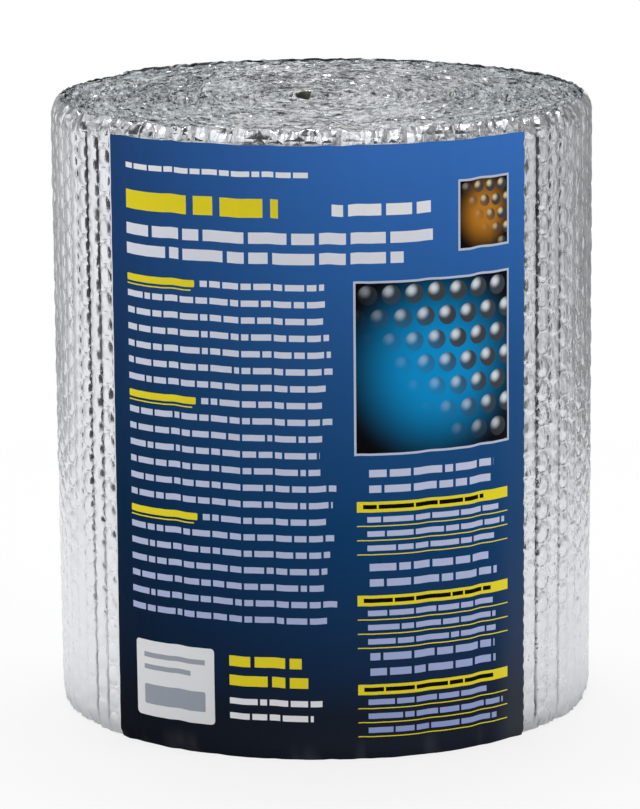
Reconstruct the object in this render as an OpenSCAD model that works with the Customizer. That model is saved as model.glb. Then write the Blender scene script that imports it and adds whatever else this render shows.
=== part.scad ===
// Roll of spiral duct insulation: a foil-faced double-bubble web, wound on itself with no core tube.
// It stands on one cut edge. +Z is up, the label faces -Y, and the origin is under the middle of the roll.

/* [Web] */
// Width of the web, which is the height of the standing roll
web_w = 304.8; // [100:0.1:1220]
// Length of web on the roll
web_l = 7620; // [3000:10:12000]
// Thickness of the web over both facings
web_t = 6.6; // [6:0.1:9]
// Clear space between one turn and the next
turn_gap = 0.95; // [0.85:0.05:2]

/* [Layers] */
// Thickness of each reflective foil facing
foil_t = 0.15; // [0.1:0.05:0.3]
// Thickness of the flat film behind each facing
backing_t = 0.2; // [0.1:0.05:0.4]
// Thickness of the formed film that holds the bubbles
bubble_film_t = 0.3; // [0.2:0.05:0.5]
// Thickness of the flat film between the two bubble layers
centre_t = 0.2; // [0.1:0.05:0.4]
// Bond line between one layer and the next
bond = 0.05; // [0.03:0.01:0.1]

/* [Bubbles] */
// Distance from one column of bubbles to the next, along the web
bubble_pitch = 10.3; // [8:0.01:14]
// Run of a bubble's side wall, from its foot to its crown
bubble_side = 2; // [1:0.1:3]
// Depth to which the outer facing dips between two columns on the outermost turn
quilt_depth = 0.8; // [0.3:0.1:1.5]

/* [Core] */
// Width of the eye inside the first curl of the web
core_eye = 1.2; // [1:0.2:6]
// Width of the hollow that is left beside the first curl
core_hollow = 7.5; // [5:0.5:8]
// How far the first curl lies to the right of the middle of the roll
core_shift = 5.5; // [0:0.5:5.5]

/* [Tail] */
// Direction in which the end of the web lies, from +X
tail_angle = 139; // [100:1:260]
// Width of each strip of tape over the end of the web
tape_w = 48; // [18:1:75]
// Length of tape on each side of the end
tape_hold = 34; // [20:1:60]
// Thickness of the tape
tape_t = 0.12; // [0.1:0.01:0.3]
// Height of the middle of the lower strip
tape_low = 62; // [40:1:80]
// Turn of the roll over which the tape comes down from the end, in degrees
tape_ramp = 8; // [6:0.5:14]

/* [Label] */
// Height of the printed label
label_h = 297; // [80:1:1200]
// Width of the label along the roll
label_w = 224; // [120:1:300]
// Direction in which the middle of the label faces, from +X
label_angle = -90.8; // [-100:0.1:-80]
// Distance from the bottom of the roll to the label
label_low = 0.8; // [0.5:0.1:10]
// Thickness of the label
label_t = 0.2; // [0.1:0.05:0.4]
// Thickness of the glue behind the label
glue_t = 0.2; // [0.1:0.05:0.3]
// Width of each band of glue
glue_w = 22; // [10:1:40]
// Distance from the label's edge to the glue
glue_inset = 5; // [2:1:20]

/* [Hidden] */

// How far each layer's outer face lies from the middle of the web. The inner half mirrors the outer.
foil_face = web_t / 2;
backing_face = foil_face - foil_t - bond;
bubble_crown = backing_face - backing_t - bond;
centre_face = centre_t / 2;
bubble_foot = centre_face + bond + bubble_film_t;

// The spiral: each turn lies one pitch outside the last, so its length gives the radius where it ends.
pitch = web_t + turn_gap;
start_r = (core_eye + web_t) / 2;
end_r = sqrt(start_r * start_r + web_l * pitch / PI);
wound = (end_r - start_r) / pitch * 360;
start_angle = tail_angle - wound;

// Middle of the web after a turn of w degrees. From its second pass on the left, the web leaves a hollow
// beside the first curl. The hollow and the core's shift fade out turn by turn.
first_left = ((180 - start_angle) % 360 + 360) % 360;
function middle_at(w) =
    let (r = start_r + pitch * w / 360,
         a = start_angle + w,
         core = 1 - w / wound,
         hollow = w < first_left + 180 ? 0 : core_hollow * max(0, -cos(a)))
    [r * cos(a) + core * (core_shift - hollow), r * sin(a)];
function outward_at(w) =
    let (d = middle_at(w + 0.5) - middle_at(w - 0.5))
    [d[1], -d[0]] / norm(d);
function face_at(w, u) = middle_at(w) + u * outward_at(w);

// The web bends every 12 degrees, and on the outermost turn at the foot between two bubble columns.
bend = 12;
columns = round(2 * PI * end_r / bubble_pitch);
column = 360 / columns;
outer_from = wound - 360;
bends = [for (w = [outer_from % bend:bend:outer_from - bend / 2]) w];

// A point on the outermost turn, on the straight stretch between two feet.
function on_turn(w, u) =
    let (n = floor((w - outer_from) / column + 0.0001), a = outer_from + n * column, f = (w - a) / column)
    face_at(a, u) * (1 - f) + face_at(a + column, u) * f;

// One face of a layer, from the core to the tail. On the outermost turn it dips to foot between the columns.
function web_face(crown, foot) =
    let (side = bubble_side / (2 * PI * end_r) * 360)
    concat(
        [face_at(0, crown)],
        [for (w = bends) if (w > 0.5) face_at(w, crown)],
        [for (i = [0:columns - 1])
            let (w = outer_from + i * column)
            each crown == foot
                ? [face_at(w, foot)]
                : [face_at(w, foot), on_turn(w + side, crown), on_turn(w + column - side, crown)]],
        [face_at(wound, foot)]);

// A stretch along the crowns of the outermost turn, from a to b, raised by lift.
function crown_run(a, b, lift) =
    concat([on_turn(a, foil_face + lift)],
           [for (i = [ceil((a - outer_from) / column + 0.02):floor((b - outer_from) / column - 0.02)])
               face_at(outer_from + i * column, foil_face + lift)],
           [on_turn(b, foil_face + lift)]);
function turn_of(length) = length / (2 * PI * end_r) * 360;

// Where the label and its glue lie, as turns from the core.
label_mid = wound - (tail_angle - label_angle);
label_from = label_mid - turn_of(label_w) / 2;
label_to = label_mid + turn_of(label_w) / 2;
label_lift = bond + glue_t + bond;

// The tape holds the outermost turn, comes down a ramp at the tail and holds the turn below.
function tape_face(lift) =
    concat(crown_run(wound - turn_of(tape_hold), wound - 0.001, bond + lift),
           crown_run(outer_from + tape_ramp, outer_from + tape_ramp + turn_of(tape_hold), bond + lift));

// The part's own zero is the middle of the box round the roll, its label and its tape.
outline = concat(web_face(foil_face, foil_face - quilt_depth),
                 crown_run(label_from, label_to, label_lift + label_t), tape_face(tape_t));
xs = [for (p = outline) p[0]];
ys = [for (p = outline) p[1]];
roll_middle = [(min(xs) + max(xs)) / 2, (min(ys) + max(ys)) / 2];

// Least gap from one turn to the next: each bend of a turn's outer face, to the next turn's inner face.
function to_edge(p, a, b) =
    let (d = b - a, f = min(1, max(0, (p - a) * d / (d * d))))
    norm(p - a - f * d);
inner_side = web_face(-foil_face, -foil_face);
outer_side = web_face(foil_face, foil_face);
per_turn = 360 / bend;
least_gap = min([for (i = [0:len(bends)])
    min([for (j = [i + per_turn / 2:min(i + per_turn + columns, len(inner_side) - 2)])
        to_edge(outer_side[i], inner_side[j], inner_side[j + 1])])]);
echo(turns = wound / 360, columns_on_outermost_turn = columns, least_gap_between_turns = least_gap);

function back(points) = [for (i = [len(points) - 1:-1:0]) points[i]];

// A strip of film between two faces, stood on its cut edge.
module strip(outer_face, inner_face, h, z = 0)
    translate([-roll_middle[0], -roll_middle[1], z])
        linear_extrude(h)
            polygon(concat(outer_face, back(inner_face)));

module flat_film(face, t)
    strip(web_face(face, face), web_face(face - t, face - t), web_w);

module quilted_film(face, t)
    strip(web_face(face, face - quilt_depth), web_face(face - t, face - t - quilt_depth), web_w);

module glue_band(from)
    strip(crown_run(from, from + turn_of(glue_w), bond + glue_t),
          crown_run(from, from + turn_of(glue_w), bond),
          label_h - 2 * glue_inset, label_low + glue_inset);

module tail_tape(mid_z)
    strip(tape_face(tape_t), tape_face(0), tape_w, mid_z - tape_w / 2);

module outer_foil()
    color("silver") quilted_film(foil_face, foil_t);

module outer_backing_film()
    color("lightsteelblue") quilted_film(backing_face, backing_t);

module outer_bubble_film()
    color("aliceblue")
        strip(web_face(bubble_crown, bubble_foot),
              web_face(bubble_crown - bubble_film_t, bubble_foot - bubble_film_t), web_w);

module centre_film()
    color("lightgrey") flat_film(centre_face, centre_t);

module inner_bubble_film()
    color("aliceblue")
        strip(web_face(bubble_film_t - bubble_crown, bubble_film_t - bubble_foot),
              web_face(-bubble_crown, -bubble_foot), web_w);

module inner_backing_film()
    color("lightsteelblue") flat_film(backing_t - backing_face, backing_t);

module inner_foil()
    color("silver") flat_film(foil_t - foil_face, foil_t);

module label_sheet()
    color("royalblue")
        strip(crown_run(label_from, label_to, label_lift + label_t),
              crown_run(label_from, label_to, label_lift), label_h, label_low);

module label_glue_left()
    color("ivory") glue_band(label_from + turn_of(glue_inset));

module label_glue_right()
    color("ivory") glue_band(label_to - turn_of(glue_inset + glue_w));

module tail_tape_upper()
    color("whitesmoke") tail_tape(web_w - tape_low);

module tail_tape_lower()
    color("whitesmoke") tail_tape(tape_low);

outer_foil();
outer_backing_film();
outer_bubble_film();
centre_film();
inner_bubble_film();
inner_backing_film();
inner_foil();
label_sheet();
label_glue_left();
label_glue_right();
tail_tape_upper();
tail_tape_lower();
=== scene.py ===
"""Looks of a roll of foil-faced bubble web that stands on its cut edge, in metres, in the frame's place."""

import math

import bpy
import numpy as np
from mathutils import Matrix, Vector


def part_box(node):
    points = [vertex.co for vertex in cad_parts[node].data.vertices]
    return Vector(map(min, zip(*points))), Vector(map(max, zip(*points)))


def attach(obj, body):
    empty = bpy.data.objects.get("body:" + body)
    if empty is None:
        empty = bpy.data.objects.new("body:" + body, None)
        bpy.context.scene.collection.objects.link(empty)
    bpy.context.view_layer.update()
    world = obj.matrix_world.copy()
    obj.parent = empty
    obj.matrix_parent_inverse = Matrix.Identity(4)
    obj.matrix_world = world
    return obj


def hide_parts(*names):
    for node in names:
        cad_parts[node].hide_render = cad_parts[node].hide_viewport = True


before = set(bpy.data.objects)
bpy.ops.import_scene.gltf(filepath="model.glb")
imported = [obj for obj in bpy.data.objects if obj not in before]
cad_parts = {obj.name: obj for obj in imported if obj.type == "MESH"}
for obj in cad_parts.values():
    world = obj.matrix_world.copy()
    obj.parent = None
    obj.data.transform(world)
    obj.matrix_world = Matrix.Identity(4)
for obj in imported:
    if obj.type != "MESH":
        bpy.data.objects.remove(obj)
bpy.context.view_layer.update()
bpy.ops.object.select_all(action="DESELECT")


# ---- The studio -----------------------------------------------------------------------------------------
# A long lens looks down a little on the roll, which stands on a pale floor before a white backdrop.
# A soft light stands on each side, and a stronger one hangs above and a little behind.

camera_distance = 2.1587
camera_height = 0.6018
camera_down = 11.906
camera_yaw = 0.0526
camera_roll = 0.50
frame_width_px = 640
focal_length_px = 4368.2

bpy.ops.object.camera_add(location=(0, -camera_distance, camera_height))
camera = bpy.context.object
camera.name = "camera"
camera.rotation_euler = (
    Matrix.Rotation(math.radians(camera_yaw), 4, "Z")
    @ Matrix.Rotation(math.radians(90 - camera_down), 4, "X")
    @ Matrix.Rotation(math.radians(-camera_roll), 4, "Z")
).to_euler()
camera.data.sensor_fit = "HORIZONTAL"
camera.data.lens = focal_length_px / frame_width_px * camera.data.sensor_width
camera.data.dof.use_dof = False
bpy.context.scene.camera = camera
bpy.context.scene.view_settings.view_transform = "Standard"


def soft_light(name, place, aim, width, height, power):
    """A rectangular soft light at a place, turned towards the point it aims at."""
    bpy.ops.object.light_add(type="AREA", location=place)
    lamp = bpy.context.object
    lamp.name = name
    lamp.rotation_euler = (Vector(aim) - Vector(place)).to_track_quat("-Z", "Y").to_euler()
    lamp.data.shape = "RECTANGLE"
    lamp.data.size = width
    lamp.data.size_y = height
    lamp.data.energy = power
    return lamp


roll_mid = (0, 0, 0.15)
soft_light("light_left", (-1.7, -0.35, 0.75), roll_mid, 1.2, 1.6, 8).visible_glossy = False
soft_light("light_right", (1.8, -0.7, 0.8), roll_mid, 0.8, 1.2, 10).visible_glossy = False
soft_light("light_top", (0.0, 0.6, 1.9), roll_mid, 1.2, 1.0, 24)


class Signal:
    """What varies over a surface: one output socket. Arithmetic on it adds Math nodes to its finish."""

    def __init__(self, finish, socket):
        self.finish = finish
        self.socket = socket

    def math(self, operation, *values, clamp=False):
        return self.finish.node("ShaderNodeMath", values, operation=operation, use_clamp=clamp)

    def __add__(self, other):
        return self.math("ADD", self, other)

    def __radd__(self, other):
        return self.math("ADD", other, self)

    def __sub__(self, other):
        return self.math("SUBTRACT", self, other)

    def __rsub__(self, other):
        return self.math("SUBTRACT", other, self)

    def __mul__(self, other):
        return self.math("MULTIPLY", self, other)

    def __rmul__(self, other):
        return self.math("MULTIPLY", other, self)

    def __truediv__(self, other):
        return self.math("DIVIDE", self, other)

    def floor(self):
        return self.math("FLOOR", self)

    def fraction(self):
        return self.math("FRACT", self)

    def size(self):
        return self.math("ABSOLUTE", self)

    def power(self, exponent):
        return self.math("POWER", self, exponent)

    def at_least(self, other):
        return self.math("MAXIMUM", self, other)

    def below(self, limit):
        return self.math("LESS_THAN", self, limit)

    def above(self, limit):
        return self.math("GREATER_THAN", self, limit)

    def ease(self, low, high, to_low=0.0, to_high=1.0):
        """Rises smoothly from to_low to to_high as the signal goes from low to high."""
        return self.finish.node(
            "ShaderNodeMapRange", [self, low, high, to_low, to_high], interpolation_type="SMOOTHSTEP"
        )


class Finish:
    """A material that is mixed from nodes."""

    def __init__(self, name):
        self.material = bpy.data.materials.new(name)
        self.material.use_nodes = True
        self.tree = self.material.node_tree
        self.surface = self.tree.nodes["Principled BSDF"]

    @classmethod
    def of_tree(cls, tree):
        """Mixes the light of the room in place of a material."""
        walls = cls.__new__(cls)
        walls.tree = tree
        walls.surface = tree.nodes["Background"]
        return walls

    def node(self, kind, inputs=(), out=0, **settings):
        """Adds a node. Inputs go by name or in order, and a value that is a Signal is linked."""
        made = self.tree.nodes.new(kind)
        for key, value in settings.items():
            if key == "stops":
                ramp = made.color_ramp
                ramp.elements[0].position, ramp.elements[0].color = value[0]
                ramp.elements[1].position, ramp.elements[1].color = value[-1]
                for place, colour in value[1:-1]:
                    ramp.elements.new(place).color = colour
            else:
                setattr(made, key, value)
        for place, value in inputs.items() if isinstance(inputs, dict) else enumerate(inputs):
            self.set(made.inputs[place], value)
        return Signal(self, made.outputs[out])

    def set(self, socket, value):
        if isinstance(value, Signal):
            self.tree.links.new(value.socket, socket)
        else:
            socket.default_value = value

    def shade(self, **values):
        """Sets the surface shader's sockets, such as base_color or roughness."""
        for name, value in values.items():
            self.set(self.surface.inputs[name.replace("_", " ").title()], value)

    def mix(self, factor, first, second):
        """A colour between two others."""
        return self.node("ShaderNodeMix", {0: factor, 6: first, 7: second}, out=2, data_type="RGBA")

    def parts(self, vector):
        """The x, y and z of a vector."""
        split = self.node("ShaderNodeSeparateXYZ", [vector])
        return [Signal(self, output) for output in split.socket.node.outputs]

    def noise(self, vector, scale, detail=2.0, roughness=0.5, stretch=None):
        """Even noise from 0 to 1, finer with a larger scale."""
        if stretch:
            vector = self.node("ShaderNodeMapping", {"Vector": vector, "Scale": stretch})
        return self.node(
            "ShaderNodeTexNoise",
            {"Vector": vector, "Scale": scale, "Detail": detail, "Roughness": roughness},
        )

    def bump(self, height, distance, strength=1.0, under=None):
        inputs = {"Height": height, "Distance": distance, "Strength": strength}
        if under:
            inputs["Normal"] = under
        return self.node("ShaderNodeBump", inputs)


def white_room():
    """White to look at and evenly lit. The foil mirrors bright sides, a bright ceiling and a dim studio.

    What it mirrors goes by direction: x is to the right, y away from the camera and z up.
    """
    evenly_lit, dim_studio = 0.55, 0.06
    room = bpy.data.worlds.new("room")
    bpy.context.scene.world = room
    room.use_nodes = True
    walls = Finish.of_tree(room.node_tree)
    sight = walls.node("ShaderNodeLightPath").socket.node.outputs
    seen = Signal(walls, sight["Is Camera Ray"]).at_least(Signal(walls, sight["Is Transmission Ray"]))
    mirrored = Signal(walls, sight["Is Glossy Ray"])
    x, y, z = walls.parts(walls.node("ShaderNodeTexCoord", out=0))
    behind = y.ease(-0.10, 0.50) * (0.42 - x.ease(-0.1, 0.45) * 0.16)
    left = (0.0 - x).ease(0.70, 0.88) * y.ease(-0.24, -0.09) * (1.0 - y.ease(0.20, 0.70) * 0.20)
    left_behind = (0.0 - x).ease(0.42, 0.80) * y.ease(-0.05, 0.25) * (0.92 - y.ease(0.30, 0.85) * 0.36)
    right = x.ease(0.76, 0.96) * y.ease(-0.42, -0.20) * (0.82 - y.ease(0.30, 0.65) * 0.26)
    above = z.ease(0.12, 0.50, 1.0, 0.30)
    ceiling = z.ease(0.38, 0.56) * (1.02 - x.ease(0.25, 0.55) * 0.62 - (0.0 - x).ease(0.25, 0.55) * 0.36)
    sides = left.at_least(left_behind).at_least(right).at_least(behind) * above
    backdrop = sides.at_least(ceiling).at_least(dim_studio)
    plain = walls.node("ShaderNodeMix", {0: mirrored, 2: evenly_lit, 3: backdrop}, data_type="FLOAT")
    strength = walls.node("ShaderNodeMix", {0: seen, 2: plain, 3: 1.0}, data_type="FLOAT")
    walls.set(walls.surface.inputs["Strength"], strength)
    walls.set(walls.surface.inputs["Color"], (1, 1, 1, 1))


white_room()

floor_radius = 0.62
floor_glow = 0.80  # how far the floor is seen as plain white, with only a trace of the shadow on it
bpy.ops.mesh.primitive_circle_add(vertices=96, radius=floor_radius, fill_type="NGON", location=(0, 0, 0))
floor = bpy.context.object
floor.name = "floor"
floor_finish = Finish("pale_floor")
floor_finish.shade(base_color=(0.78, 0.78, 0.78, 1), roughness=0.9)
sight = floor_finish.node("ShaderNodeLightPath")
glow = floor_finish.node("ShaderNodeEmission", {"Color": (1, 1, 1, 1), "Strength": 1.0})
seen_floor = floor_finish.tree.nodes.new("ShaderNodeMixShader")
floor_finish.set(seen_floor.inputs[0], sight * floor_glow)
floor_finish.tree.links.new(floor_finish.surface.outputs[0], seen_floor.inputs[1])
floor_finish.tree.links.new(glow.socket, seen_floor.inputs[2])
floor_out = floor_finish.tree.nodes["Material Output"]
floor_finish.tree.links.new(seen_floor.outputs[0], floor_out.inputs["Surface"])
floor.data.materials.append(floor_finish.material)
floor.select_set(False)


# ---- The foil on the outermost turn -----------------------------------------------------------------------
# Bright aluminium foil on the outside of the web, pressed over round bubbles that stand in staggered
# columns. Where the web bends round the roll it creases in straight lines from one column to the next.

web_width = 0.3048
web_length = 7.62
web_thickness = 0.0066
turn_gap = 0.00095
core_eye = 0.0012
core_hollow = 0.0075
core_shift = 0.0055
tail_angle = 139.0
column_pitch = 0.0103
row_pitch = 0.01173

pitch = web_thickness + turn_gap
start_radius = (core_eye + web_thickness) / 2
end_radius = math.sqrt(start_radius**2 + web_length * pitch / math.pi)
wound = (end_radius - start_radius) / pitch * 360
start_angle = tail_angle - wound
first_left = (180 - start_angle) % 360
outer_from = wound - 360
columns = round(2 * math.pi * end_radius / column_pitch)
column = 360 / columns
foil_face = web_thickness / 2


def middle_at(turned):
    """Middle of the web, x and y, after it has turned so many degrees from the core."""
    radius = start_radius + pitch * turned / 360
    angle = np.radians(start_angle + turned)
    core = 1 - turned / wound
    hollow = np.where(turned < first_left + 180, 0, core_hollow * np.maximum(0, -np.cos(angle)))
    return radius * np.cos(angle) + core * (core_shift - hollow), radius * np.sin(angle)


def face_at(turned, out):
    """A point at a distance out from the middle of the web."""
    x, y = middle_at(turned)
    before, after = middle_at(turned - 0.5), middle_at(turned + 0.5)
    dx, dy = after[0] - before[0], after[1] - before[1]
    long = np.hypot(dx, dy)
    return x + out * dy / long, y - out * dx / long


outermost = face_at(np.linspace(outer_from, wound, 720), foil_face)
(foil_low, foil_high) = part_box("outer_foil")
centre_x = (min(outermost[0]) + max(outermost[0]) - foil_low[0] - foil_high[0]) / 2
centre_y = (min(outermost[1]) + max(outermost[1]) - foil_low[1] - foil_high[1]) / 2


def random_field(seed, along, up, cell_along, cell_up):
    """Smooth random heights from -1 to 1, one random value to each cell of the flat web."""
    chance = np.random.default_rng(seed)
    a = along / cell_along
    b = up / cell_up
    low_a, low_b = math.floor(a.min()), math.floor(b.min())
    table = chance.uniform(-1, 1, (math.ceil(a.max()) - low_a + 2, math.ceil(b.max()) - low_b + 2))
    i, j = np.floor(a).astype(int), np.floor(b).astype(int)
    f, g = a - i, b - j
    f, g = f * f * (3 - 2 * f), g * g * (3 - 2 * g)
    i, j = i - low_a, j - low_b
    return (
        table[i, j] * (1 - f) * (1 - g)
        + table[i + 1, j] * f * (1 - g)
        + table[i, j + 1] * (1 - f) * g
        + table[i + 1, j + 1] * f * g
    )


def ease(value, low, high):
    """Rises smoothly from 0 to 1 as the value goes from low to high."""
    t = np.clip((value - low) / (high - low), 0, 1)
    return t * t * (3 - 2 * t)


def wound_sheet(name, along_steps, up_steps):
    """A flat grid, one metre square until its points are placed, with its points in rows up the web."""
    bpy.ops.mesh.primitive_grid_add(x_subdivisions=along_steps, y_subdivisions=up_steps, size=1)
    sheet = bpy.context.object
    sheet.name = sheet.data.name = name
    sheet.select_set(False)
    return sheet


def place_points(sheet, x, y, z):
    """Puts the grid's points at x, y and z, turns its faces outwards and rounds its shading."""
    places = np.column_stack([x.ravel(), y.ravel(), z.ravel()]).astype(np.float32)
    sheet.data.vertices.foreach_set("co", places.ravel())
    sheet.data.update()
    bpy.context.view_layer.objects.active = sheet
    sheet.select_set(True)
    bpy.ops.object.mode_set(mode="EDIT")
    bpy.ops.mesh.select_all(action="SELECT")
    bpy.ops.mesh.flip_normals()
    bpy.ops.object.mode_set(mode="OBJECT")
    bpy.ops.object.shade_smooth_by_angle(angle=math.radians(60))
    sheet.select_set(False)


# Where the label and the two strips of tape lie on this turn, in metres and in degrees of turn.
label_wide = 0.224
label_tall = 0.2988
label_low = 0.0002
label_angle = -90.8
label_mid = wound - (tail_angle - label_angle)
label_half = math.degrees(label_wide / 2 / end_radius)
label_from, label_to = label_mid - label_half, label_mid + label_half
tape_wide = 0.048
tape_low = 0.062
tape_mids = (tape_low, web_width - tape_low)
tape_hold = math.degrees(0.034 / end_radius)  # how far a strip lies on the foil to each side of its ramp
tape_ramp = 8.0

bubble_height = 0.00155
bubble_half_wide = 0.00480
bubble_half_tall = 0.00530
squareness = 2.4  # of a bubble's foot, where 2 is an oval
flattened = 0.62  # share of its height that a bubble loses under the label or the tape
ridge_height = 0.00060
crease_depth = 0.00150
crease_half_wide = 0.00105
# The foil's hard folds: degrees from the middle of the label, and how strong each is. Each deepens its
# crease, and the foil's colour is painted dark along it as painted shade.
hard_folds = ((-56.6, 0.9), (-52.2, 0.6), (50.9, 1.0), (59.6, 0.4))

# Each bubble has its own height, tilt and dent, and each crease its own depth, drawn once for the turn.
chance = np.random.default_rng(11)
each_bubble = (columns, round(web_width / row_pitch) + 3)
swell = chance.uniform(0.75, 1.0, each_bubble)
swell[chance.random(each_bubble) < 0.10] *= 0.5
tilt_along = chance.uniform(-0.00030, 0.00030, each_bubble)
tilt_up = chance.uniform(-0.00020, 0.00020, each_bubble)
dent = np.maximum(0, chance.uniform(-0.0004, 0.0006, each_bubble))
crease_strength = 0.15 * chance.random(columns + 1) ** 1.4
fold_strength = np.zeros(columns + 1)
for from_label, strength in hard_folds:
    fold_strength[round((label_mid + from_label - outer_from) / column)] = strength
crease_strength = np.maximum(crease_strength, 1.5 * fold_strength)


def pressed_down(turned, up):
    """Share of its height that a bubble keeps: less where the label or the tape lies over it."""
    labelled = ease(turned, label_from - 1, label_from + 1.5) * ease(-turned, -label_to - 1, 1.5 - label_to)
    labelled = labelled * ease(-up, -label_low - label_tall - 0.0025, -label_low - label_tall)
    taped = ease(-turned, -outer_from - tape_ramp - tape_hold - 2, -outer_from - tape_ramp - tape_hold + 1)
    taped = np.maximum(taped, ease(turned, wound - tape_hold - 2, wound - tape_hold + 1))
    near_tape = np.minimum(np.abs(up - tape_mids[0]), np.abs(up - tape_mids[1]))
    taped = taped * ease(-near_tape, -tape_wide / 2 - 0.002, 0.002 - tape_wide / 2)
    return 1 - flattened * np.maximum(labelled, taped)


def bubble_relief(turned, up):
    """Height of the quilted foil over its bonded land, its creases' swing aside, and how strongly painted
    shade darkens its hard folds.
    """
    place = (turned - outer_from) / column
    index = np.clip(np.floor(place + 1e-6), 0, columns - 1).astype(int)
    across = (place - index - 0.5) * column_pitch
    phase = up / row_pitch + 0.5 * (index % 2)
    row = np.floor(phase).astype(int) + 1
    rise = (phase - np.floor(phase) - 0.5) * row_pitch
    handled = 0.45 + 0.55 * ease(turned, label_mid - 20, label_mid + 50)
    away = np.abs(across / bubble_half_wide) ** squareness + np.abs(rise / bubble_half_tall) ** squareness
    away = away ** (1 / squareness)
    crown = 1 - np.minimum(away, 1) ** 3
    bubble = crown * (
        bubble_height * swell[index, row]
        + tilt_along[index, row] * across / 0.0045
        + tilt_up[index, row] * rise / 0.005
        - dent[index, row] * np.exp(-((away / 0.45) ** 2)) * (0.6 + 0.8 * handled)
    )
    ridge = (ridge_height + 0.00010 * handled) * ease(away, 1.0, 1.12)
    to_crease = (0.5 - np.abs(place - index - 0.5)) * column_pitch
    nearest = np.clip(np.round(place), 0, columns).astype(int)
    waver = 0.70 + 0.30 * random_field(12, place, up, 1.0, 0.012)
    crease = crease_depth * ease(-to_crease, -crease_half_wide, 0.0) * crease_strength[nearest] * waver
    crinkle = 0.00011 * handled * random_field(13, place * column_pitch, up, 0.0023, 0.0031)
    # Painted shade: a mask that darkens the foil's colour along its hard folds.
    fold = fold_strength[nearest] * ease(-to_crease, -0.0013, -0.0003) * waver
    # The creases swing from side to side between the staggered bubbles.
    swing = np.cos(2 * np.pi * (up / row_pitch + 0.5 * ((nearest - 1) % 2) - 0.5))
    swing = 0.030 * column * swing * (1 - ease(to_crease, 0.0, 0.0026))
    swing = np.where((nearest == 0) | (nearest == columns), 0, swing)
    # The bubbles are flatter near the foot, which bears the weight, and at the left and right of the roll.
    fade = 0.35 + 0.65 * ease(up, 0.0, 0.14)
    from_front = np.abs(turned - label_mid)
    slack = 1 - 0.40 * ease(from_front, 57, 67) * (1 - ease(from_front, 95, 125))
    relief = (bubble + ridge) * fade * pressed_down(turned, up) * slack + 0.0010 * (1 - slack)
    return relief - crease + crinkle, swing, fold


# The web's points, finer round each bubble's foot than on its crown.
column_stations = np.array([0, 0.036, 0.075, 0.13, 0.21, 0.32, 0.44, 0.56, 0.68, 0.79, 0.87, 0.925, 0.964])
row_stations = np.array([0, 0.045, 0.10, 0.17, 0.27, 0.385, 0.5, 0.615, 0.73, 0.83, 0.90, 0.955])
edge_depth = 0.0085


def front_share(turned):
    """1 on the front of the roll, where its edges are roughest, and 0 at its back."""
    return ease(np.cos(np.radians(start_angle + turned + 90)), -0.5, 0.6)


def pleats(turned, below, seed):
    """How far the cut edge's foil is thrown in and out, below metres under the cut."""
    run = np.radians(turned) * end_radius
    strong = 1 - ease(below, 0.0, edge_depth)
    sharp = 1 - np.abs(random_field(seed, run + 0.35 * below, below, 0.0041, 0.013)) * 2
    wide = random_field(seed + 1, run, below, 0.0105, 0.02)
    return strong * (0.0004 + 0.0008 * front_share(turned)) * (sharp + 0.5 * wide)


def length_at(turned):
    """Length of web wound on by the time it has turned so many degrees."""
    radius = start_radius + pitch * turned / 360
    return math.pi / pitch * (radius**2 - start_radius**2)


def pinched(turned, out):
    """The web is thin where it was cut across, at the core and at the tail."""
    run = length_at(turned)
    thick = 0.30 + 0.70 * ease(run, 0.0, 0.010) * ease(web_length - run, 0.0, 0.014)
    return (out + foil_face) * thick - foil_face


row_count = math.ceil(web_width / row_pitch)
heights = (np.arange(row_count)[:, None] + row_stations[None, :]).ravel() * row_pitch
heights = np.append(heights[heights < web_width - 0.0006], web_width)
quarters = [0, 21, 42, 63, columns]
foil_rest = foil_face - 0.0006  # the bonded land lies a little inside the nominal face
rim_lean = 0.0034  # how far the foil leans in at its upper cut edge, over the depth that follows
rim_depth = 0.0068
foil_pieces = []
for number, (first, last) in enumerate(zip(quarters, quarters[1:])):
    stations = (np.arange(first, last)[:, None] + column_stations[None, :]).ravel()
    stations = np.append(stations, last)
    piece = wound_sheet(f"outer_foil_side_{number + 1}", len(stations) - 1, len(heights) - 1)
    up, turned = np.meshgrid(heights, outer_from + stations * column, indexing="ij")
    from_top = web_width - up
    from_end = np.minimum(from_top, up)
    relief, swing, fold = bubble_relief(turned, up)
    relief = relief * ease(from_end, 0.0, 0.008)
    tucked = ease(turned, label_from - 1, label_from + 1) * ease(-turned, -label_to - 1, 1 - label_to)
    lean = rim_lean * np.maximum(0, 1 - from_top / rim_depth) ** 2
    lean = lean + (0.0010 + 0.0018 * tucked) * (1 - ease(up, 0, 0.008))
    foot = 0.8 * pleats(turned, up, 31) * (1 - 0.85 * tucked)
    out = foil_rest + relief + pleats(turned, from_top, 21) + foot - lean
    ragged = (0.0004 + 0.0006 * front_share(turned)) * random_field(23, turned * 0.1, up * 0, 0.11, 1.0)
    ragged = ragged + 0.0004
    stepped = 0.0005 * (1 + random_field(24, turned * 0.1, up * 0, 0.14, 1.0)) * (1 - 0.8 * tucked)
    z = up + ragged * (1 - ease(from_top, 0, 0.006)) + stepped * (1 - ease(up, 0, 0.006))
    x, y = face_at(turned + swing, pinched(turned, out))
    place_points(piece, x - centre_x, y - centre_y, z)
    # The painted fold shade fades out near both cut ends and is kept on the points for the foil's colour.
    fold = fold * ease(from_end, 0.002, 0.012)
    piece.data.attributes.new("fold", "FLOAT", "POINT").data.foreach_set("value", fold.ravel())
    foil_pieces.append(piece)

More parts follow.
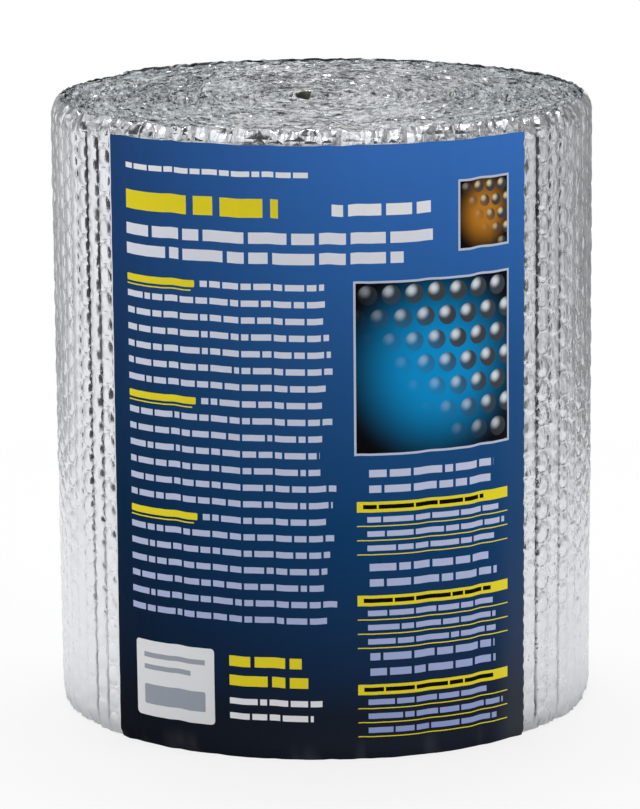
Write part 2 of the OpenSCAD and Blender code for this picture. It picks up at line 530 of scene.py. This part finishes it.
# Fine creases from handling grow stronger towards the right of the label, and dull the foil there a little.
foil_finish = Finish("creased_foil")
here = foil_finish.node("ShaderNodeTexCoord", out=3)
side_x, _, side_z = foil_finish.parts(here)
handled = side_x.ease(-0.05, 0.10, 0.35, 1.0)
fine = foil_finish.noise(here, 900, 3, 0.6)
streaks = foil_finish.noise(here, 520, 3, 0.6, stretch=(1, 1, 0.22))
facets = foil_finish.node(
    "ShaderNodeTexVoronoi", {"Vector": here, "Scale": 420, "Randomness": 1.0}, feature="SMOOTH_F1"
)
cloud = foil_finish.noise(here, 60, 2)
crushed_edge = side_z.ease(web_width - 0.0103, web_width - 0.0063)
folds = foil_finish.node(
    "ShaderNodeTexVoronoi", {"Vector": here, "Scale": 140, "Randomness": 1.0}, distance="MANHATTAN"
)
crinkled = foil_finish.bump(folds * crushed_edge, 0.0050, 0.42)
crinkled = foil_finish.bump(facets * handled, 0.0008, 0.40, under=crinkled)
crinkled = foil_finish.bump(streaks * handled, 0.0014, 0.45, under=crinkled)
crinkled = foil_finish.bump(fine, 0.0002, 0.30, under=crinkled)
# Painted shade: the foil's colour goes nearly black along its hard folds.
painted_fold_shade = foil_finish.node("ShaderNodeAttribute", attribute_name="fold", out=2)
bright = foil_finish.mix(cloud, (0.79, 0.81, 0.84, 1), (0.885, 0.90, 0.92, 1))
foil_finish.shade(
    base_color=foil_finish.mix(painted_fold_shade, bright, (0.085, 0.090, 0.095, 1)),
    metallic=1.0,
    roughness=cloud.ease(0.3, 0.7, 0.18, 0.32) + side_x.ease(0.085, 0.130, 0.0, 0.08),
    normal=crinkled,
)
for piece in foil_pieces:
    piece.data.materials.append(foil_finish.material)
    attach(piece, "root")
    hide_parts("outer_foil")


# ---- The foil and films of the wound web ------------------------------------------------------------------
# Seven thin layers are bonded into one web: a foil and its backing film, a film formed with bubbles, a flat
# film, and the same again mirrored. The knife crushes their cut edges, so at both ends of the roll they
# close over the gaps between the turns as one crumpled mat.


def web_stations(longest, widest):
    """Places along the whole web, no further apart than so many metres and so many degrees."""
    places = [0.0]
    while places[-1] < wound:
        radius = start_radius + pitch * places[-1] / 360
        places.append(places[-1] + min(widest, math.degrees(longest / radius)))
    places[-1] = wound
    return np.array(places)


# Depths of the rows below a cut edge: close together in the crushed zone, then one long strip between ends.
crushed = np.array([0, 0.00045, 0.0011, 0.0024, 0.0066])
crushed_depth = crushed[-1]
highest_edge = web_width + 0.0016
least_cut = 0.0004

# The hollow beside the first curl stays open, so the edges round it stand clear of it.
hollow_x, hollow_y = centre_x - 0.0108, centre_y - 0.0025

# How far each layer lies out from the middle of the web. The inner half mirrors the outer.
foil_depth = 0.00322
backing_depth = 0.00300
bubble_crown = 0.00268
bubble_foot = 0.00032


def depth_in_web(run, side, below, top, at, crown, slot, seed):
    """How far a layer's points lie out from the middle of the web, with its bubbles, wrinkles and lean."""
    out = np.full_like(run, at)
    if crown is not None:
        chance = np.random.default_rng(seed)
        place = run / column_pitch
        index = np.floor(place).astype(int)
        cut_through = chance.uniform(0.1, 1.0, (2, index.max() + 1))[top.astype(int), index]
        dome = ease(0.5 - np.abs(place - index - 0.5), 0.04, 0.20)
        out = out + (crown - at) * dome * cut_through
    wrinkle = random_field(seed + 1, run, side + below, 0.0036, 0.004)
    out = out + wrinkle * (0.00050 - 0.00035 * ease(below, 0.0, 0.006))
    lean = random_field(seed + 2, run, side, 0.0047, 1.0) + random_field(seed + 3, run, side, 0.0021, 1.0)
    # Foil keeps a fold better than film does, so it leans further.
    lean = lean * (0.0014 if slot == "foil" else 0.0009)
    return out + lean * (1 - ease(below, 0.0, 0.0024))


def round_the_hollow(x, y):
    """Distance from the hollow beside the first curl, and shares for lying round it and in front of it."""
    from_hollow_x, from_hollow_y = x - hollow_x, y - hollow_y
    from_hollow = np.hypot(from_hollow_x, from_hollow_y / 1.6)
    open_here = 1 - ease(from_hollow, 0.006, 0.014)
    before_it = ease(-from_hollow_y, -0.001, 0.003) * (1 - ease(-from_hollow_y, 0.010, 0.024))
    before_it = before_it * (1 - ease(np.abs(from_hollow_x), 0.006, 0.013))
    return from_hollow, open_here, before_it


def crushed_aside(x, y, turned, loose):
    """Moves the loose edges sideways over the gaps, in at the rim and clear of the hollow."""
    from_hollow_x, from_hollow_y = x - hollow_x, y - hollow_y
    from_hollow, open_here, _ = round_the_hollow(x, y)
    shift_x = 0.0017 * random_field(51, x, y, 0.009, 0.009) + 0.0006 * random_field(52, x, y, 0.0036, 0.0036)
    shift_y = 0.0017 * random_field(53, x, y, 0.009, 0.009) + 0.0006 * random_field(54, x, y, 0.0036, 0.0036)
    reach = np.hypot(x, y)
    rim = ease(reach, end_radius - 0.009, end_radius + 0.001)
    parted = ease(turned, label_mid + 8, label_mid + 30) * (1 - ease(turned, label_mid + 55, label_mid + 75))
    gather = (0.0026 + 0.0016 * parted) * rim * loose
    free = loose * (1 - rim) * (1 - 0.8 * open_here)
    flare = 0.0020 * open_here * loose / np.maximum(from_hollow, 0.001)
    flare = flare * (1 - 0.6 * ease(-from_hollow_x, 0.0, 0.004))
    aside = open_here * loose * (0.0010 + 0.0016 * ease(-from_hollow_x, -0.001, 0.003))
    crushed_x = x + shift_x * free + from_hollow_x * flare + aside - x / reach * gather
    crushed_y = y + shift_y * free + from_hollow_y * flare - y / reach * gather
    return crushed_x, crushed_y


def cut_off(run, side, x, y, loose, calm_here, before_it, slot, seed):
    """How far the knife took each point down below the highest edge."""
    notch = 0.00050 * (1 + random_field(seed + 4, run, side, 0.0043, 1.0))
    nick = 0.00050 * (1 + random_field(seed + 5, run, side, 0.0017, 1.0))
    slump = 0.0006 * (1 + random_field(55, x, y, 0.022, 0.022))
    calm = 1 - 0.75 * calm_here
    cut = ((notch + nick + slump) * calm + 0.0012 * before_it) * loose + least_cut
    # The films' edges lie a little below the foils'.
    return cut if slot == "foil" else cut + 0.0006 * loose * calm


def wound_layer(name, node, slot, finish, at, crown=None, until=None, seed=0):
    """One layer of the web, from the core on. With a crown it rises there over each bubble it holds."""
    until = wound if until is None else until
    run_places = web_stations(0.0013, 9.0)
    run_places = np.append(run_places[run_places < until - 0.2], until)
    last = 2 * len(crushed) - 1
    rows = np.arange(last + 1)
    piece = wound_sheet(name, len(run_places) - 1, len(rows) - 1)
    row, turned = np.meshgrid(rows, run_places, indexing="ij")
    below = crushed[np.minimum(row, last - row)]
    top = row >= len(crushed)
    run = length_at(turned)
    side = np.where(top, 0.0, 5.0)  # sets the two ends of the roll apart in the random fields
    out = pinched(turned, depth_in_web(run, side, below, top, at, crown, slot, seed))
    under_quilt = 0.45 * ease(turned, outer_from + 2, outer_from + 12)
    out = (out + foil_face) * (1 - under_quilt) - foil_face
    x, y = face_at(turned, out)
    loose = 1 - ease(below, 0.0, crushed_depth)
    _, open_here, before_it = round_the_hollow(x, y)
    x, y = crushed_aside(x, y, turned, loose)
    calm_here = np.maximum(open_here, before_it)
    cut = cut_off(run, side, x, y, loose, calm_here, before_it, slot, seed)
    z = np.where(top, highest_edge - below - cut, below + np.maximum(cut - least_cut, 0))
    place_points(piece, x - centre_x, y - centre_y, z)
    piece.data.materials.append(finish.material)
    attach(piece, "root")
    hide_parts(node)


def film_finish(name, light, dark, gloss):
    """Clear film that looks pale and grey in a stack, with fine stretch marks.

    White patches are painted on it as painted glints, where bits of it would catch the light, fewer towards
    the sides of the roll than in its middle.
    """
    film = Finish(name)
    spot = film.node("ShaderNodeTexCoord", out=3)
    haze = film.noise(spot, 150, 3, 0.6)
    flecks = film.noise(spot, 420, 3, 0.7)
    glints = film.noise(spot, 230, 3, 0.65)
    spot_x, spot_y, _ = film.parts(spot)
    rare = (spot_x - 0.008).size().ease(0.035, 0.100, 0.0, 0.14) + spot_y.ease(-0.11, -0.04) * 0.02
    marks = film.noise(spot, 700, 2, 0.5, stretch=(1, 1, 0.3))
    # Painted highlight: white patches stand in for glints, mostly in the middle of the roll.
    painted_glints = (glints - rare).ease(0.45, 0.50)
    film.shade(
        base_color=film.mix(painted_glints, film.mix(flecks.ease(0.40, 0.60), dark, light), (1, 1, 1, 1)),
        roughness=haze.ease(0.3, 0.7, gloss, gloss + 0.15),
        normal=film.bump(marks, 0.0008, 0.7),
    )
    return film


backing_finish = film_finish("backing_film", (0.95, 0.98, 1.00, 1), (0.53, 0.57, 0.60, 1), 0.14)
bubble_finish = film_finish("bubble_film", (0.96, 0.99, 1.00, 1), (0.57, 0.61, 0.64, 1), 0.08)
centre_finish = film_finish("centre_film", (0.94, 0.97, 1.00, 1), (0.45, 0.49, 0.52, 1), 0.18)

# Down in the hollow the foil would mirror only more foil and lie in shade. In an oval below its cut edge its
# colour is painted dark olive as painted shade, and it is not metal there.
dark_below = web_width - 0.0002
core_foil = Finish("core_foil")
spot = core_foil.node("ShaderNodeTexCoord", out=3)
spot_x, spot_y, spot_z = core_foil.parts(spot)
aside, ahead = spot_x + 0.0092, (spot_y + 0.0025) * 0.6
painted_hollow_shade = (aside * aside + ahead * ahead).power(0.5).ease(0.0115, 0.0085) * spot_z.below(dark_below)
crumpled = core_foil.noise(spot, 520, 3, 0.6)
core_foil.shade(
    base_color=core_foil.mix(painted_hollow_shade, (0.85, 0.86, 0.87, 1), (0.040, 0.043, 0.024, 1)),
    metallic=1.0 - painted_hollow_shade,
    roughness=painted_hollow_shade.ease(0, 1, 0.25, 0.65),
    normal=core_foil.bump(crumpled, 0.0016, 0.5),
)

wound_layer(
    "outer_foil_inner_turns", "outer_foil", "foil", foil_finish, foil_depth, until=outer_from, seed=100
)
wound_layer("outer_backing", "outer_backing_film", "backing_film", backing_finish, backing_depth, seed=100)
wound_layer(
    "outer_bubbles", "outer_bubble_film", "bubble_film", bubble_finish, bubble_foot, bubble_crown, seed=120
)
wound_layer("centre_sheet", "centre_film", "centre_film", centre_finish, 0.0, seed=130)
wound_layer(
    "inner_bubbles", "inner_bubble_film", "bubble_film", bubble_finish, -bubble_foot, -bubble_crown, seed=140
)
wound_layer("inner_backing", "inner_backing_film", "backing_film", backing_finish, -backing_depth, seed=160)
wound_layer("inner_foil_sheet", "inner_foil", "foil", core_foil, -foil_depth, seed=160)


# ---- The label and its glue ------------------------------------------------------------------------------
# A glossy sheet printed on white stock, wrapped round the front over the foil and pressed on over two bands
# of glue behind its left and right edges. Its print is plain: bars stand where lines of text would be, and
# the two pictures are a pattern of round bubbles.

label = wound_sheet("label", 180, 220)
up, turned = np.meshgrid(np.linspace(0, 1, 221), np.linspace(label_from, label_to, 181), indexing="ij")
place = (turned - outer_from) / column
from_side = np.minimum(turned - label_from, label_to - turned) * math.radians(end_radius)
from_low = up * label_tall
sag = random_field(61, turned, from_low, 13.0, 0.05) + 0.4 * random_field(62, turned, from_low, 4.0, 0.02)
ribs = np.cos(2 * np.pi * (place - 0.5)) * (0.6 + 0.4 * random_field(63, place, from_low, 1.0, 0.03))
label_off_foil, nearest_foil = 0.0007, 0.0004
label_thick = 0.0002
out = foil_face + label_off_foil + 0.00030 * sag * ease(from_side, 0, 0.01) + 0.00010 * ribs
out = np.maximum(out, foil_face + nearest_foil)
tuck = 1 - ease(from_low, 0.0, 0.0046)
out = out - 0.0011 * tuck * (1 + 0.4 * random_field(64, turned, up * 0, 3.5, 1.0))
out = out - 0.0006 * tuck * (1 - ease(turned, label_from, label_from + 3.0))
edge_wave = 0.0003 * random_field(65, turned, up * 0, 3.0, 1.0)
side_wave = 0.00018 * random_field(66, from_low, up * 0, 0.006, 1.0)
row_phase = 2 * np.pi * (from_low + label_low) / row_pitch
spikes = 0.0008 * np.abs(np.cos(row_phase / 2)) ** 9 + 0.0004 * np.abs(np.sin(row_phase / 2)) ** 9
side_wave = side_wave - np.where(turned > label_mid, spikes, 0)
x, y = face_at(turned + np.degrees(side_wave / end_radius) * (1 - ease(from_side, 0.0, 0.004)), out)
place_points(label, x - centre_x, y - centre_y, np.maximum(label_low + from_low + edge_wave, label_low))
label.select_set(True)
bpy.context.view_layer.objects.active = label
sheet_stock = label.modifiers.new("stock", "SOLIDIFY")
sheet_stock.thickness = label_thick
sheet_stock.offset = -1
sheet_stock.material_offset = 1

print_finish = Finish("label_print")
# The print is laid out in millimetres across and down from its top left corner.
across, height, _ = print_finish.parts(print_finish.node("ShaderNodeUVMap"))
across = across * (label_wide * 1000)
down = (1 - height) * (label_tall * 1000)


def box_at(left, right, top, bottom, corner=0.0):
    """A filled box in the print: 1 inside and 0 outside."""
    aside = (across - (left + right) / 2).size() - ((right - left) / 2 - corner)
    above = (down - (top + bottom) / 2).size() - ((bottom - top) / 2 - corner)
    if not corner:
        return aside.at_least(above).below(0.0)
    aside, above = aside.at_least(0.0), above.at_least(0.0)
    return (aside * aside + above * above).below(corner**2)


def chance_of(first, second):
    """A random value from 0 to 1 for each pair of whole numbers."""
    pair = print_finish.node("ShaderNodeCombineXYZ", [first, second, 0.0])
    return print_finish.node("ShaderNodeTexWhiteNoise", {"Vector": pair}, noise_dimensions="2D")


def word_bars(left, right, top, rows, spacing, tall, word, seed):
    """Rows of plain bars as long as words, with uneven right-hand ends."""
    line = ((down - top) / spacing).floor()
    into = (down - top) / spacing - line
    slots = (across - left) / word
    index = slots.floor()
    part = slots - index
    split = chance_of(index, line + seed) * 0.5 + 0.25
    gap = tall * 0.42 / word
    inked = (part - split).size().above(gap / 2) * part.below(1 - gap)
    inside = across.above(left) * across.below(right - chance_of(line, seed + 0.5) * (word * 0.55))
    return inked * inside * line.above(-0.5) * line.below(rows - 0.5) * into.below(tall / spacing)


blue = print_finish.node(
    "ShaderNodeValToRGB",
    [height],
    stops=[
        (0.0, (0.0145, 0.0195, 0.032, 1)),
        (0.07, (0.012, 0.018, 0.032, 1)),
        (0.15, (0.009, 0.027, 0.074, 1)),
        (0.38, (0.006, 0.053, 0.162, 1)),
        (0.64, (0.020, 0.094, 0.278, 1)),
        (0.83, (0.031, 0.136, 0.425, 1)),
        (1.0, (0.046, 0.175, 0.552, 1)),
    ],
)
# Painted shade: the blue darkens towards the left of the sheet, to about a third at its left edge.
blue = print_finish.node(
    "ShaderNodeVectorMath", {"Vector": blue, "Scale": across.ease(-40, 150, 0.27, 0.99)}, operation="SCALE"
)
yellow = (0.83, 0.70, 0.025, 1)
white = (0.86, 0.87, 0.90, 1)
lavender = (0.28, 0.35, 0.66, 1)
ink = (0.004, 0.004, 0.006, 1)
pale_line = (0.50, 0.56, 0.70, 1)
text_colour = print_finish.mix(height, lavender, white)


def bubble_picture(colour, left, right, top, bottom, spacing, sheen, glow):
    """A framed picture of round bubbles in staggered rows over a soft glow."""
    middle_x, middle_y = (left + right) / 2, (top + bottom) / 2
    line = ((down - top) / spacing).floor()
    slide = (line / 2).fraction() * spacing
    aside = ((across - left + slide) / spacing).fraction() - 0.5
    upright = ((down - top) / spacing).fraction() - 0.5
    near = (aside * aside + upright * upright).power(0.5)
    dome = near.ease(0.44, 0.38)
    beside, over = aside + 0.14, upright + 0.16
    glint = (beside * beside + over * over).power(0.5).ease(0.34, 0.04)
    far_x, far_y = (across - middle_x) / ((right - left) / 2), (down - middle_y) / ((bottom - top) / 2)
    far = (far_x * far_x + far_y * far_y).power(0.5)
    ground = print_finish.mix(far.ease(1.25, 0.25), ink, glow)
    lit = print_finish.mix(glint, (0.05, 0.06, 0.07, 1), sheen)
    shown = dome * (far_x * 0.55 - far_y * 0.45 + 0.5).ease(0.15, 0.85)
    picture = print_finish.mix(shown, ground, lit)
    colour = print_finish.mix(box_at(left - 1.1, right + 1.1, top - 1.1, bottom + 1.1), colour, pale_line)
    return print_finish.mix(box_at(left, right, top, bottom), colour, picture)


def table_of_bars(colour, left, right, top, seed):
    """A small table: two bars for its heading, a yellow band and three rows between fine yellow lines."""
    heading = word_bars(left + 6, right - 4, top, 2, 7.6, 3.6, 22, seed)
    colour = print_finish.mix(heading, colour, text_colour)
    colour = print_finish.mix(box_at(left, right, top + 15.6, top + 20.8), colour, yellow)
    heads = word_bars(left + 3, right - 2, top + 17.1, 1, 9, 2.1, 26, seed + 3)
    colour = print_finish.mix(heads, colour, ink)
    under = top + 20.8
    lines = ((down - under) / 7.0).fraction().above(0.93) * box_at(left, right, under, top + 41.9)
    colour = print_finish.mix(lines, colour, yellow)
    cells = word_bars(left + 5, right - 2, top + 23.0, 3, 7.0, 2.7, 24, seed + 5)
    return print_finish.mix(cells, colour, text_colour)


# The white stock shows along the left edge, where the print stops short of it.
colour = print_finish.mix(box_at(0, 0.8, 0, 297), blue, white)
# Lines at the head of the sheet: left, right, top, rows, spacing, height, longest word, seed and colour.
for left, right, top, rows, spacing, tall, word, seed, paint in (
    (12, 112, 12.5, 1, 9, 2.6, 15, 1, white),
    (12, 118, 25.5, 1, 14, 9.0, 54, 4, yellow),
    (120, 176, 28.0, 1, 14, 5.6, 26, 6, white),
    (12, 172, 41.5, 2, 9.6, 5.4, 34, 9, text_colour),
):
    bars = word_bars(left, right, top, rows, spacing, tall, word, seed)
    colour = print_finish.mix(bars, colour, paint)
colour = bubble_picture(colour, 184, 212, 20, 52, 7.0, (0.75, 0.62, 0.35, 1), (0.50, 0.20, 0.02, 1))
colour = bubble_picture(colour, 131, 212, 66, 148, 11.5, (0.72, 0.78, 0.84, 1), (0.005, 0.28, 0.62, 1))
# The long text has three parts, each with an underlined yellow heading in its first line.
body_top, body_spacing = 66, 8.1
body_text = word_bars(12, 122, body_top, 21, body_spacing, 3.0, 16, 12)
colour = print_finish.mix(body_text, colour, text_colour)
for first_row in (0, 7, 14):
    low = body_top + body_spacing * first_row
    heading = box_at(12, 52, low, low + 3.4, 0.6).at_least(box_at(12, 50, low + 4.6, low + 5.2))
    colour = print_finish.mix(box_at(11, 55, low - 1, low + 6), colour, blue)
    colour = print_finish.mix(heading, colour, yellow)
for number, top in enumerate((156, 202, 246)):
    colour = table_of_bars(colour, 131, 212, top, 20 + 9 * number)
# A plain pale patch with rounded corners holds three bars, and four short lines stand beside it.
colour = print_finish.mix(box_at(14, 60, 246, 284, 2.0), colour, (0.80, 0.81, 0.83, 1))
plain_bars = box_at(19, 55, 252, 254.5) + box_at(19, 47, 258, 260.5) + box_at(19, 55, 268, 278, 1.0)
colour = print_finish.mix(plain_bars, colour, (0.34, 0.37, 0.43, 1))
colour = print_finish.mix(word_bars(68, 112, 248, 2, 9.6, 5.2, 30, 41), colour, yellow)
colour = print_finish.mix(word_bars(68, 116, 269, 2, 7.4, 3.0, 20, 44), colour, white)
# Painted sheen: the lower right edge is lightened where the sheet turns away, and pale patches near its foot
# are painted where its creases would catch light.
colour = print_finish.mix(across.ease(200, 218) * (0.036 - height * 0.060).at_least(0.0), colour, white)
spot = print_finish.node("ShaderNodeTexCoord", out=3)
painted_foot_sheen = print_finish.noise(spot, 45, 2, 0.5, stretch=(1, 1, 0.2)).ease(0.52, 0.70)
painted_foot_sheen = painted_foot_sheen * height.ease(0.045, 0.01)
colour = print_finish.mix(painted_foot_sheen * 0.05, colour, white)
drift = print_finish.noise(spot, 35, 2, 0.5)
grain = print_finish.noise(spot, 420, 2, 0.6)
soft_waves = print_finish.bump(drift, 0.004, 0.25)
print_finish.shade(
    base_color=colour,
    roughness=drift.ease(0.3, 0.7, 0.26, 0.38),
    normal=print_finish.bump(grain, 0.00015, 0.25, under=soft_waves),
)
print_finish.surface.inputs["Specular IOR Level"].default_value = 0.02

paper_finish = Finish("label_stock")
paper_grain = paper_finish.noise(paper_finish.node("ShaderNodeTexCoord", out=3), 900, 3, 0.6)
paper_finish.shade(
    base_color=paper_finish.mix(paper_grain, (0.78, 0.78, 0.77, 1), (0.88, 0.88, 0.87, 1)),
    roughness=0.7,
    normal=paper_finish.bump(paper_grain, 0.0001, 0.4),
)
label.data.materials.append(paper_finish.material)
label.data.materials.append(print_finish.material)
bpy.ops.object.modifier_apply(modifier="stock")
label.select_set(False)
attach(label, "root")
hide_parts("label_sheet")

glue_finish = Finish("dried_glue")
spot = glue_finish.node("ShaderNodeTexCoord", out=3)
beads = glue_finish.noise(spot, 240, 3, 0.6)
glue_finish.shade(
    base_color=glue_finish.mix(beads.ease(0.35, 0.65), (0.80, 0.77, 0.68, 1), (0.90, 0.88, 0.82, 1)),
    roughness=beads.ease(0.3, 0.7, 0.35, 0.6),
    normal=glue_finish.bump(beads, 0.0006, 0.6),
)
for name in ("label_glue_left", "label_glue_right"):
    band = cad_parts[name]
    band.data.materials.clear()
    band.data.materials.append(glue_finish.material)


# ---- The tape over the end of the web ---------------------------------------------------------------------
# Two strips of clear packing tape hold the end of the web. Each lies on the outermost turn, comes down over
# the end in a short ramp and holds the turn below.

tape_thick = 0.00012
tape_finish = Finish("clear_tape")
spot = tape_finish.node("ShaderNodeTexCoord", out=3)
creases = tape_finish.noise(spot, 90, 3, 0.6, stretch=(1, 1, 2.5))
bubbles = tape_finish.noise(spot, 320, 2, 0.5)
tape_finish.shade(
    base_color=tape_finish.mix(bubbles.ease(0.4, 0.6), (0.78, 0.77, 0.72, 1), (0.88, 0.88, 0.85, 1)),
    roughness=creases.ease(0.3, 0.7, 0.06, 0.18),
    coat_weight=0.5,
    coat_roughness=0.08,
    alpha=bubbles.ease(0.35, 0.75, 0.13, 0.24),
    normal=tape_finish.bump(creases, 0.0015, 0.4),
)


def tail_strip(name, node, middle, seed):
    """One strip of tape with its middle at a height. It leaves the upper turn and meets the lower one."""
    ramp_from, ramp_to = 0.42, 0.58  # shares of the strip's length
    strip = wound_sheet(name, 96, 18)
    up, t = np.meshgrid(np.linspace(-0.5, 0.5, 19), np.linspace(0, 1, 97), indexing="ij")
    upper = wound - tape_hold + np.clip(t / ramp_from, 0, 1) * tape_hold
    lower = outer_from + tape_ramp + np.clip((t - ramp_to) / ramp_from, 0, 1) * tape_hold
    lift = 0.00025 + 0.00025 * random_field(seed, t * 0.1, up * tape_wide, 0.006, 0.01)
    upper_x, upper_y = face_at(upper, pinched(upper, foil_face + lift))
    lower_x, lower_y = face_at(lower, foil_face + lift)
    down_ramp = ease(t, ramp_from, ramp_to)
    bow = 0.0006 * np.sin(np.pi * np.clip((t - ramp_from) / (ramp_to - ramp_from), 0, 1))
    x = upper_x * (1 - down_ramp) + lower_x * down_ramp
    y = upper_y * (1 - down_ramp) + lower_y * down_ramp
    reach = np.hypot(x, y)
    x, y = x * (1 + bow / reach), y * (1 + bow / reach)
    z = middle + up * tape_wide + 0.0004 * random_field(seed + 1, t * 0.1, up * 0, 0.02, 1.0)
    place_points(strip, x - centre_x, y - centre_y, z)
    strip.select_set(True)
    bpy.context.view_layer.objects.active = strip
    film = strip.modifiers.new("film", "SOLIDIFY")
    film.thickness = tape_thick
    film.offset = -1
    bpy.ops.object.modifier_apply(modifier="film")
    strip.select_set(False)
    strip.data.materials.append(tape_finish.material)
    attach(strip, "root")
    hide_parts(node)


tail_strip("tape_low", "tail_tape_lower", tape_mids[0], 71)
tail_strip("tape_high", "tail_tape_upper", tape_mids[1], 75)
